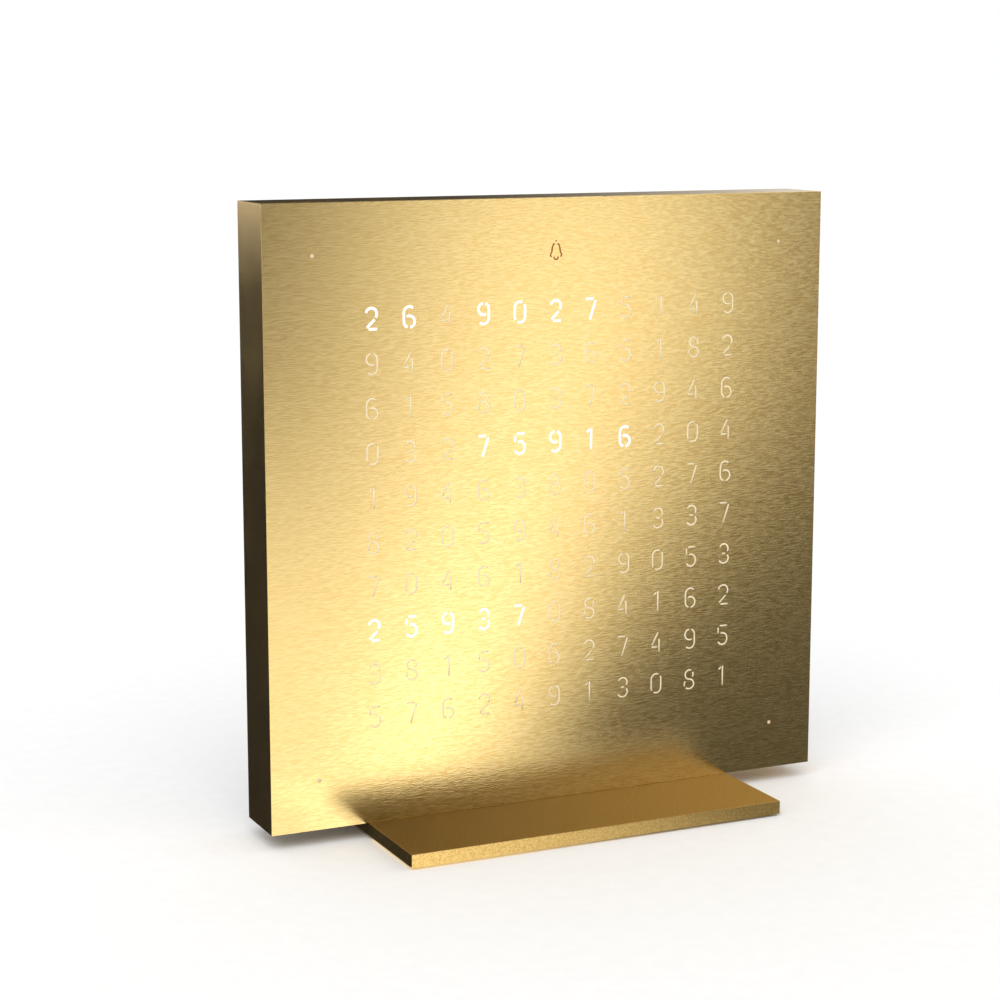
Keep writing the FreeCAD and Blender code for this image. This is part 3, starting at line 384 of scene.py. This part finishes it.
def circuit_board():
    """Green solder mask over copper: tracks show through as lighter, raised lines."""
    material, tree, shader = new_finish("green_solder_mask", Roughness=0.3, IOR=1.5)
    per_metre = {"Scale": (900, 900, 900)}
    scaled = add_node(tree, "ShaderNodeMapping", per_metre, {"Vector": place(tree)})
    tilt = {"Rotation": (math.radians(90), 0, 0)}
    stood_up = add_node(tree, "ShaderNodeMapping", tilt, {"Vector": scaled.outputs["Vector"]})
    tracks = add_node(
        tree,
        "ShaderNodeTexBrick",
        {"Scale": 1.0, "Mortar Size": 0.12, "Brick Width": 7.0, "Row Height": 1.0, "Bias": 0.0},
        {"Vector": stood_up.outputs["Vector"]},
    ).outputs["Fac"]
    paint(tree, shader, tracks, "#0F4A2A", "#1F6B3C")
    relief(tree, shader, tracks, 0.03, strength=0.5)
    return material


def led_package():
    """White package with a yellow phosphor window, seen from the front."""
    material, tree, shader = new_finish("led_phosphor_window", Roughness=0.35, IOR=1.5)
    dots = grain(tree, (0.5, 0.5, 0.5))
    paint(tree, shader, spread(tree, dots, 0, 1), "#E9DC8C", "#F4F0E0")
    return material


def foam_tape():
    """Black foam tape: matt, with open pores."""
    material, tree, shader = new_finish("black_foam_tape", Roughness=0.9, IOR=1.5)
    pores = grain(tree, (0.5, 0.5, 0.5), detail=4.0)
    paint(tree, shader, spread(tree, pores, 0, 1), "#101010", "#242424")
    relief(tree, shader, pores, 0.05, strength=0.6)
    return material


def pebbled_rubber():
    """Anti-slip sheet: black rubber with a fine pebble."""
    material, tree, shader = new_finish("black_anti_slip_rubber", Roughness=0.8, IOR=1.52)
    per_metre = {"Scale": 1400.0}
    cells = add_node(tree, "ShaderNodeTexVoronoi", per_metre, {"Vector": place(tree)})
    paint(tree, shader, cells.outputs["Distance"], "#2A2A2A", "#161616")
    relief(tree, shader, cells.outputs["Distance"], -0.06, strength=0.7)
    return material


# ---------------------------------------------------------------- camera, floor and light


def set_camera():
    """The view that the clock is shown from."""
    bpy.ops.object.camera_add(
        location=[length * MM for length in CAMERA_PLACE],
        rotation=(math.radians(90 - CAMERA_DOWN), 0, math.radians(-CAMERA_RIGHT)),
    )
    camera = bpy.context.object
    camera.data.lens = CAMERA_LENS
    camera.data.sensor_width = 36
    camera.data.clip_start, camera.data.clip_end = 0.01, 20
    bpy.context.scene.camera = camera


def set_floor():
    """A pale floor that runs on past the view, and a white room."""
    bpy.ops.mesh.primitive_plane_add(size=12, location=(0, 0, 0))
    floor = bpy.context.object
    floor.name = "floor"
    material, tree, shader = new_finish("pale_paper", Roughness=0.9, IOR=1.3)
    paint(tree, shader, grain(tree, (4, 4, 4), detail=3.0), "#F8F8F8", "#FFFFFF")
    shader.inputs["Specular IOR Level"].default_value = 0.0
    coat(floor, material)

    world = bpy.data.worlds.new("white_room")
    bpy.context.scene.world = world
    world.use_nodes = True
    tree = world.node_tree
    # The room is white where it is seen or mirrored, and lights the clock a little less.
    rays = add_node(tree, "ShaderNodeLightPath").outputs
    seen = calculate(tree, "MAXIMUM", rays["Is Camera Ray"], rays["Is Glossy Ray"])
    seen = calculate(tree, "MAXIMUM", seen, rays["Is Transmission Ray"])
    background = tree.nodes["Background"]
    tree.links.new(spread(tree, seen, 0.85, 1.0, 0, 1), background.inputs["Strength"])
    background.inputs["Color"].default_value = (1, 1, 1, 1)


def level(height, *corners):
    """The corners of a level card, each given by its X and Y."""
    return [(x, y, height) for x, y in corners]


def upright(start, end, bottom, top):
    """The corners of an upright card, from a start to an end that are given by their X and Y."""
    return [(*start, bottom), (*end, bottom), (*end, top), (*start, top)]


def add_card(name, corners, material):
    """A flat studio card that only the metal mirrors. Its corners are in millimetres."""
    bpy.ops.mesh.primitive_plane_add(size=1)
    card = bpy.context.object
    card.name = name
    card.data.clear_geometry()
    card.data.from_pydata([Vector(c) * MM for c in corners], [], [range(len(corners))])
    coat(card, material)
    card.visible_camera = card.visible_diffuse = card.visible_shadow = False
    card.visible_transmission = card.visible_volume_scatter = False


def card_paper(name, brightness):
    """Glowing paper, whose brightness is a number or a function that makes a pattern."""
    material = bpy.data.materials.new(name)
    material.use_nodes = True
    tree = material.node_tree
    tree.nodes.clear()
    glow = add_node(tree, "ShaderNodeEmission", {"Color": (1, 1, 1, 1)})
    if callable(brightness):
        tree.links.new(brightness(tree), glow.inputs["Strength"])
    else:
        glow.inputs["Strength"].default_value = brightness
    add_node(tree, "ShaderNodeOutputMaterial", {}, {"Surface": glow.outputs[0]})
    return material


def light_path(tree):
    """A slanting bright path. It runs away over the ground and up the foot of a wall, ends sharply
    on its right side and fades out to its left, where the near ground is bright too."""
    # Moved to the path's start and given a quarter turn, a radial gradient is half through
    # straight ahead and grows towards the right.
    move = {
        "Location": (PATH_START[1] * MM, -PATH_START[0] * MM, 0),
        "Rotation": (0, 0, math.radians(90)),
    }
    moved = add_node(tree, "ShaderNodeMapping", move, {"Vector": place(tree)})
    radial = {"gradient_type": "RADIAL"}
    fan = add_node(tree, "ShaderNodeTexGradient", radial, {"Vector": moved.outputs["Vector"]})
    turn = fan.outputs["Fac"]
    left = [0.5 + angle / 360 for angle in PATH_LEFT]
    right = [0.5 + angle / 360 for angle in PATH_RIGHT]
    path = spread(tree, turn, 0, PATH_BRIGHTNESS, *left)
    kept = spread(tree, turn, 1, 0, *right)
    near_ground = [y * MM for y in NEAR_GROUND]
    near = spread(tree, place_along(tree, "Y"), 0, NEAR_BRIGHTNESS, *near_ground)
    low = spread(tree, place_along(tree, "Z"), 1, 0, *[z * MM for z in PATH_TOP])
    bright = calculate(tree, "MAXIMUM", near, path)
    bright = calculate(tree, "MULTIPLY", bright, kept)
    bright = calculate(tree, "MULTIPLY", bright, low)
    return calculate(tree, "ADD", bright, REST_BRIGHTNESS)


def foot_glow(tree):
    """Ground just ahead of the foot plate, dimmer towards its right end."""
    return spread(tree, place_along(tree, "X"), 1.8, 0.35, -50 * MM, 40 * MM)


def wall_glow(tree):
    """A wall that is dark opposite the foot plate and grows lighter to both sides."""
    from_middle = calculate(tree, "SUBTRACT", place_along(tree, "X"), 240 * MM)
    aside = calculate(tree, "ABSOLUTE", from_middle)
    return spread(tree, aside, 0.0, 1.1, 150 * MM, 560 * MM)


def fading_wall(tree):
    """A wall that is dark behind the case's left half and grows light, ever faster, rightwards."""
    share = spread(tree, place_along(tree, "X"), 0, 1, 90 * MM, 250 * MM)
    return spread(tree, calculate(tree, "MULTIPLY", share, share), DARK, 0.83, 0, 1)


def set_light():
    """One very soft lamp from the upper left, and cards for the metal to mirror."""
    bpy.ops.object.light_add(type="SUN", rotation=(math.radians(38), 0, math.radians(-35)))
    lamp = bpy.context.object
    lamp.name = "soft_lamp"
    lamp.data.energy = 0.9
    lamp.data.angle = math.radians(50)
    lamp.visible_glossy = False

    path = card_paper("slanting_light_path", light_path)
    dim = card_paper("dim_wall", wall_glow)
    dark = card_paper("black_card", DARK)
    strip = card_paper("dimmer_strip", foot_glow)
    bright = card_paper("bright_card", 1.1)
    fading = card_paper("fading_wall", fading_wall)

    # ahead: the path over the ground and up the foot of a wall, with the dim wall above it
    ahead = level(0.3, (-1500, -10), (-1500, -900), (1500, -900), (1500, -10))
    add_card("ground_ahead", ahead, path)
    add_card("wall_foot", upright((-1500, -900), (1500, -900), 0, 220), path)
    add_card("wall_ahead", upright((-1500, -900), (1500, -900), 220, 1600), dim)
    add_card("ground_at_foot", level(0.4, (-48, -32), (48, -32), (60, -50), (-60, -50)), strip)
    # on the left: dark ground that the side faces, by the foot and further off
    by_foot = level(0.4, (-45.3, -9), (-45.3, 34), (-67, 200), (-67, -9))
    add_card("ground_by_foot", by_foot, dark)
    beside = level(0.5, (-68, -9), (-68, 200), (-160, 2700), (-1880, 2060), (-400, 60), (-160, -9))
    add_card("ground_beside", beside, dark)
    # a low fence along the foot's left side: dark towards the foot, bright towards the front
    inside = level(0.35, (-45.6, -34), (-45.02, -34), (-45.02, -9), (-45.6, -9))
    add_card("ground_inside_fence", inside, dark)
    add_card("fence_inside", upright((-45.6, -34), (-45.6, 34), 0.02, 3.45), dark)
    add_card("fence_outside", upright((-45.7, -34), (-45.7, -9.2), 0.02, 3.5), bright)
    # behind: what the top faces
    add_card("wall_behind", upright((-20, 300), (260, 300), 90, 420), fading)


# ---------------------------------------------------------------- digits


def bend(x, z, wide, high, start, stop, steps=6):
    """Points on an arc about x, z, from start to stop in degrees."""
    turns = [math.radians(start + (stop - start) * i / steps) for i in range(steps + 1)]
    return [(x + wide * math.cos(t), z + high * math.sin(t)) for t in turns]


# Each digit is 2.5 wide and 4.5 high on its middle lines, and broken like a stencil. Points are
# given as X and Z from the middle of the digit.
SIX = [
    bend(0, 1, 1.25, 1.25, 45, 180) + [(-1.25, -1)] + bend(0, -1, 1.25, 1.25, 200, 250, 3),
    bend(0, -1, 1.25, 1.25, 278, 360, 4) + bend(0, -1, 1.25, 1.25, 20, 118, 5),
]
STROKES = {
    "0": [
        bend(0, 1, 1.25, 1.25, 62, 180) + bend(0, -1, 1.25, 1.25, 180, 212, 2),
        bend(0, -1, 1.25, 1.25, 242, 360) + bend(0, 1, 1.25, 1.25, 0, 32, 2),
    ],
    "1": [
        [(-0.85, 1.5), (-0.2, 2.08)],
        [(0.2, 2.3), (0.2, -2.3)],
    ],
    "2": [
        bend(0, 1, 1.25, 1.25, 168, -38, 8),
        [(0.72, -0.22), (-1.05, -1.9)],
        [(-0.62, -2.25), (1.3, -2.25)],
    ],
    "3": [
        bend(0, 1.12, 1.15, 1.13, 155, -36, 8),
        [(-0.45, 0.04), (0.42, 0.04)],
        bend(0, -1.1, 1.25, 1.15, 40, -155, 8),
    ],
    "4": [
        [(0.38, 2.3), (-1.18, -0.62)],
        [(-1.3, -1.05), (0.2, -1.05)],
        [(0.68, 0.75), (0.68, -2.3)],
    ],
    "5": [
        [(-0.7, 2.25), (1.15, 2.25)],
        [(-1.12, 1.85), (-1.12, 0.5)],
        bend(0, -0.85, 1.25, 1.4, 112, -152, 9),
    ],
    "6": SIX,
    "7": [
        [(-1.25, 2.25), (0.62, 2.25)],
        [(1.1, 1.88), (-0.3, -2.3)],
    ],
    "8": [
        bend(0, 1.15, 1.05, 1.1, 58, 270, 7) + bend(0, -1.1, 1.25, 1.15, 65, -132, 8),
        bend(0, 1.15, 1.05, 1.1, 28, -36, 3),
        bend(0, -1.1, 1.25, 1.15, 142, 204, 3),
    ],
    "9": [[(-x, -z) for x, z in stroke] for stroke in SIX],
}
# The bell's two sides, its clapper and the knob on its top.
BELL = [
    [(-0.35, 1.42), (-0.72, 1.1), (-0.92, 0.4), (-1.05, -0.45), (-1.4, -1.1), (-1.12, -1.5)],
    [(0.35, 1.42), (0.72, 1.1), (0.92, 0.4), (1.05, -0.45), (1.4, -1.1), (1.12, -1.5)],
    bend(0, -1.45, 0.55, 0.62, 180, 360, 6),
    [(-0.16, 1.98), (0.16, 1.98)],
]


def cut_profile(width, front, back):
    """A rectangle, width across and from front to back above the drawing plane."""
    bpy.ops.curve.primitive_bezier_circle_add(radius=MM)
    profile = bpy.context.object
    profile.data.resolution_u = 1
    spline = profile.data.splines[0]
    corners = [(-width / 2, back), (width / 2, back), (width / 2, front), (-width / 2, front)]
    for point, (x, y) in zip(spline.bezier_points, corners):
        point.handle_left_type = point.handle_right_type = "VECTOR"
        point.co = (x * MM, y * MM, 0)
    return profile


def swept_strokes(name, strokes, profile):
    """Strokes drawn flat, swept with the profile, made a mesh and stood up to face the front."""
    bpy.ops.curve.primitive_nurbs_path_add(radius=MM)
    drawing = bpy.context.object
    drawing.name = name
    drawing.data.splines.clear()
    for stroke in strokes:
        spline = drawing.data.splines.new("POLY")
        spline.points.add(len(stroke) - 1)
        for point, (x, z) in zip(spline.points, stroke):
            point.co = (x * MM, z * MM, 0, 1)
    drawing.data.twist_mode = "Z_UP"
    drawing.data.bevel_mode = "OBJECT"
    drawing.data.bevel_object = profile
    drawing.data.use_fill_caps = True
    take(drawing)
    bpy.ops.object.convert(target="MESH")
    drawing = bpy.context.object
    bpy.ops.object.mode_set(mode="EDIT")
    bpy.ops.mesh.select_all(action="SELECT")
    bpy.ops.mesh.remove_doubles(threshold=TOUCHING)
    bpy.ops.transform.rotate(value=-math.pi / 2, orient_axis="X", center_override=(0, 0, 0))
    bpy.ops.mesh.normals_make_consistent(inside=False)
    bpy.ops.object.mode_set(mode="OBJECT")
    return drawing


def case_face():
    """The Y of the case's face."""
    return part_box("front_housing")[0].y / MM


# The front and back of the three functions below are measured out from the case's face.


def set_digits(name, width, lit, front, back):
    """All lit or all unlit digits, swept from front to back."""
    face = case_face()
    profile = cut_profile(width, front, back)
    patterns = {d: swept_strokes(f"digit_{d}", s, profile) for d, s in STROKES.items()}
    placed = []
    for row, digits in enumerate(ROWS):
        for column, digit in enumerate(digits):
            if (column in LIT.get(row, ())) != lit:
                continue
            piece = copy_of(patterns[digit])
            x = (column - MIDDLE_COLUMN) * COLUMN_PITCH
            z = GRID_MIDDLE + (MIDDLE_ROW - row) * ROW_PITCH
            piece.location = (x * MM, face * MM, z * MM)
            placed.append(settle(piece))
    for thing in list(patterns.values()) + [profile]:
        bpy.data.objects.remove(thing)
    return join(name, placed)


def set_bell(name, width, front, back):
    """The bell sign, swept from front to back."""
    profile = cut_profile(width, front, back)
    bell = swept_strokes(name, BELL, profile)
    bpy.data.objects.remove(profile)
    bell.location = (0, case_face() * MM, BELL_MIDDLE * MM)
    return settle(bell)


def set_minute_marks(name, width, front, back):
    """Round rods in the case's four corners, from front to back."""
    y = case_face() - (front + back) / 2
    laid_down = (math.pi / 2, 0, 0)
    rods = [
        add_rod(width, front - back, (x, y, CASE_MIDDLE + up), sides=24, turn=laid_down)
        for x in (-MINUTE_HOLES, MINUTE_HOLES)
        for up in (-MINUTE_HOLES, MINUTE_HOLES)
    ]
    return join(name, rods)


# ---------------------------------------------------------------- case and foot plate


def folded_case():
    """The case as folded from one sheet: a box, hollowed from the back, outer edges broken."""
    low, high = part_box("front_housing")
    case = add_block("gold_case", low, high)

    pick(case, "polygons", lambda face: face.normal.y > 0.9)  # its back
    bpy.ops.object.mode_set(mode="EDIT")
    bpy.ops.mesh.select_mode(type="FACE")
    bpy.ops.mesh.inset(thickness=SHEET * MM)
    depth = high.y - low.y - SHEET * MM
    bpy.ops.mesh.extrude_region_move(TRANSFORM_OT_translate={"value": (0, -depth, 0)})
    bpy.ops.object.mode_set(mode="OBJECT")

    def breaks(edge):
        """The front's edges but its lowest one, and the four that run from front to back."""
        ends = [case.data.vertices[i].co for i in edge.vertices]
        at_side, at_top_or_bottom = (
            all(min(end[axis] - low[axis], high[axis] - end[axis]) < TOUCHING for end in ends)
            for axis in (0, 2)
        )
        at_front = all(end.y < low.y + TOUCHING for end in ends)
        at_bottom = all(end.z < low.z + TOUCHING for end in ends)
        return (at_front and not at_bottom) or (at_side and at_top_or_bottom)

    break_edges(case, breaks)
    return case


def foot_drills(width, bottom, top):
    """Two upright rods where the foot's screws stand, from a bottom to a top height."""
    middle = (bottom + top) / 2
    drills = [
        add_rod(width, top - bottom, (x, 0, middle), sides=48) for x in (-FOOT_HOLES, FOOT_HOLES)
    ]
    return join("foot_drills", drills)


def make_case():
    """The case with all its cut-outs, its front brushed and the rest of it satin."""
    case = folded_case()
    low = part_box("front_housing")[0]
    bottom = low.z / MM
    front, back = CUTTER_REACH, -SHEET - CUTTER_REACH
    cutters = [
        set_digits("unlit_cutter", UNLIT_STROKE, False, front, back),
        set_digits("lit_cutter", LIT_STROKE, True, front, back),
        set_bell("bell_cutter", UNLIT_STROKE, front, back),
        set_minute_marks("minute_drills", MINUTE_HOLE_WIDTH, front, back),
        foot_drills(FOOT_HOLE_WIDTH, bottom - CUTTER_REACH, bottom + SHEET + CUTTER_REACH),
    ]
    cut(case, join("cutters", cutters))
    satin = satin_gold("satin_gold_plated_steel", 0.21, "#CBA761", "#F7D690")
    coat(case, brushed_gold(), satin)
    for face in case.data.polygons:
        # The broken edges count as front, and the walls of the cut-outs don't.
        on_front = face.center.y < low.y + 1.5 * EDGE_BREAK * MM and face.normal.y < -0.3
        face.material_index = 0 if on_front else 1
        face.use_smooth = False
    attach(case, "clock")
    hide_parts("front_housing")


def make_foot():
    """The foot plate, its edges just broken, with counterbored screw holes underneath."""
    low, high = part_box("base_plate")
    foot = add_block("gold_foot", low, high)
    break_edges(foot, lambda edge: True)
    bottom = low.z / MM
    holes = foot_drills(FOOT_HOLE_WIDTH, bottom - CUTTER_REACH, high.z / MM + CUTTER_REACH)
    counterbores = foot_drills(
        COUNTERBORE_WIDTH, bottom - CUTTER_REACH, bottom + COUNTERBORE_DEPTH
    )
    cut(foot, join("foot_cutters", [holes, counterbores]))
    coat(foot, satin_gold("blasted_gold_plated_steel", 0.3, "#BA9853", "#DDBA76"))
    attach(foot, "clock")
    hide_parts("base_plate")


def make_fills():
    """Acrylic in every cut-out, just below the metal's face."""
    front, back = -FILL_SINK, -SHEET + FILL_BACK
    opal = opal_fill()
    fills = (
        (set_digits("unlit_digits", UNLIT_STROKE - FILL_GAP, False, front, back), opal),
        (set_digits("lit_digits", LIT_STROKE - FILL_GAP, True, front, back), lit_fill()),
        (set_bell("bell_sign", UNLIT_STROKE - FILL_GAP, front, back), bell_fill()),
        (set_minute_marks("minute_marks", MINUTE_HOLE_WIDTH - FILL_GAP, -MINUTE_SINK, back), opal),
    )
    for fill, material in fills:
        coat(fill, material)
        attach(fill, "clock")


# ---------------------------------------------------------------- carried-over parts


def finish_parts():
    """Gives each part that keeps its built shape its real finish."""
    dark_steel = drawn_metal("black_oxide_steel", "#2A2A2B", "#3C3C3E", 0.42)
    spring_steel = drawn_metal("stainless_spring_steel", "#A9A9AA", "#C3C3C4", 0.28)
    tinned = drawn_metal("tinned_steel", "#B4B5B7", "#CFCFD0", 0.3)
    milled = drawn_metal("milled_aluminium", "#C4C5C7", "#DADBDC", 0.38, (3.0, 0.3, 0.3))
    black_body = moulded_plastic("black_nylon", "#161617", "#1E1E1F", 0.55, 0.25)
    epoxy = moulded_plastic("black_epoxy_package", "#1B1B1D", "#232325", 0.6, 0.2)
    finishes = {
        "base_foil": pebbled_rubber(),
        "foot_bar": milled,
        "screw_blocks": milled,
        "cover_ledges": milled,
        "base_screws": dark_steel,
        "cover_screws": dark_steel,
        "diffuser_tape": foam_tape(),
        "diffuser": moulded_plastic("opal_acrylic_sheet", "#EADFCF", "#F1E8DA", 0.4, 0.5, 0.005),
        "light_grid": moulded_plastic("white_abs", "#E4E4E0", "#EEEEEA", 0.5),
        "led_board": circuit_board(),
        "leds": led_package(),
        "driver_chips": epoxy,
        "controller_chip": epoxy,
        "clock_crystal": tinned,
        "supply_capacitor": drawn_metal("capacitor_aluminium", "#C2C4C8", "#D6D8DB", 0.3),
        "cell_holder": black_body,
        "backup_cell": drawn_metal("polished_cell_steel", "#C6C6C6", "#DADADA", 0.16),
        "cell_clip": tinned,
        "sounder": black_body,
        "touch_spring": drawn_metal("phosphor_bronze", "#C08A50", "#D9A468", 0.3),
        "switch_housings": spring_steel,
        "switch_leaves": spring_steel,
        "power_socket": moulded_plastic("black_pbt_socket", "#121213", "#1A1A1B", 0.4, 0.2),
        "socket_pin": drawn_metal("nickel_plated_brass", "#CDBB86", "#E0CF9C", 0.2),
        "rear_cover": moulded_plastic("black_grained_abs", "#161616", "#1F1F1F", 0.5, 0.4, 0.03),
    }
    cap = moulded_plastic("satin_grey_abs", "#3A3A3C", "#444446", 0.4, 0.3, 0.01)
    for purpose in ("hour", "minute", "alarm", "mode"):
        finishes[f"{purpose}_button"] = cap
        finishes[f"{purpose}_plunger"] = black_body
    for node, material in finishes.items():
        coat(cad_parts[node], material)


clear_selection()
bpy.context.scene.view_settings.view_transform = "Standard"
set_camera()
set_floor()
set_light()
make_case()
make_foot()
make_fills()
finish_parts()
